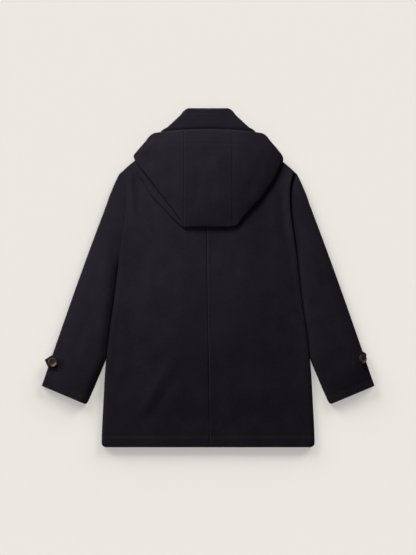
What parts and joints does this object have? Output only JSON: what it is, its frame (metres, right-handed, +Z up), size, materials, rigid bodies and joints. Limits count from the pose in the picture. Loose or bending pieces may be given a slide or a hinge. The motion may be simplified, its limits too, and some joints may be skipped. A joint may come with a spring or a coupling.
{
  "type": "duffle coat",
  "caption": "Hooded duffle coat of dark wool cloth, laid flat on its front with its back up, hood down, sleeves spread, with toggle fastenings and buttoned cuff tabs.",
  "frame": {"origin": "centre of the coat's outline on the surface that it lies on", "axes": "+Z up from the surface, +Y from the hem towards the collar, +X towards the right of the back as seen from above"},
  "size_m": [0.864, 0.8788, 0.0304],
  "materials": {
    "wool": "felted wool melton, near-black navy, matt with a soft nap",
    "horn_button": "polished mottled brown horn",
    "horn_toggle": "polished brown horn",
    "leather": "matt black-brown leather",
    "cord": "braided waxed cord"
  },
  "bodies": {
    "root": {"back_left": "wool", "back_right": "wool", "front_left": "wool", "front_right": "wool", "sleeve_top_left": "wool", "sleeve_top_right": "wool", "sleeve_under_left": "wool", "sleeve_under_right": "wool", "hood_centre": "wool", "hood_side_left": "wool", "hood_side_right": "wool", "hood_under": "wool", "collar_leaf_back": "wool", "collar_leaf_left": "wool", "collar_leaf_right": "wool", "collar_stand_back": "wool", "collar_stand_left": "wool", "collar_stand_right": "wool", "cuff_tab_left": "wool", "cuff_tab_right": "wool", "cuff_button_left": "horn_button", "cuff_button_right": "horn_button", "toggle_1": "horn_toggle", "toggle_patch_left_1": "leather", "toggle_loop_left_1": "cord", "toggle_patch_right_1": "leather", "toggle_loop_right_1": "cord", "toggle_2": "horn_toggle", "toggle_patch_left_2": "leather", "toggle_loop_left_2": "cord", "toggle_patch_right_2": "leather", "toggle_loop_right_2": "cord", "toggle_3": "horn_toggle", "toggle_patch_left_3": "leather", "toggle_loop_left_3": "cord", "toggle_patch_right_3": "leather", "toggle_loop_right_3": "cord", "toggle_4": "horn_toggle", "toggle_patch_left_4": "leather", "toggle_loop_left_4": "cord", "toggle_patch_right_4": "leather", "toggle_loop_right_4": "cord"}
  },
  "joints": []
}
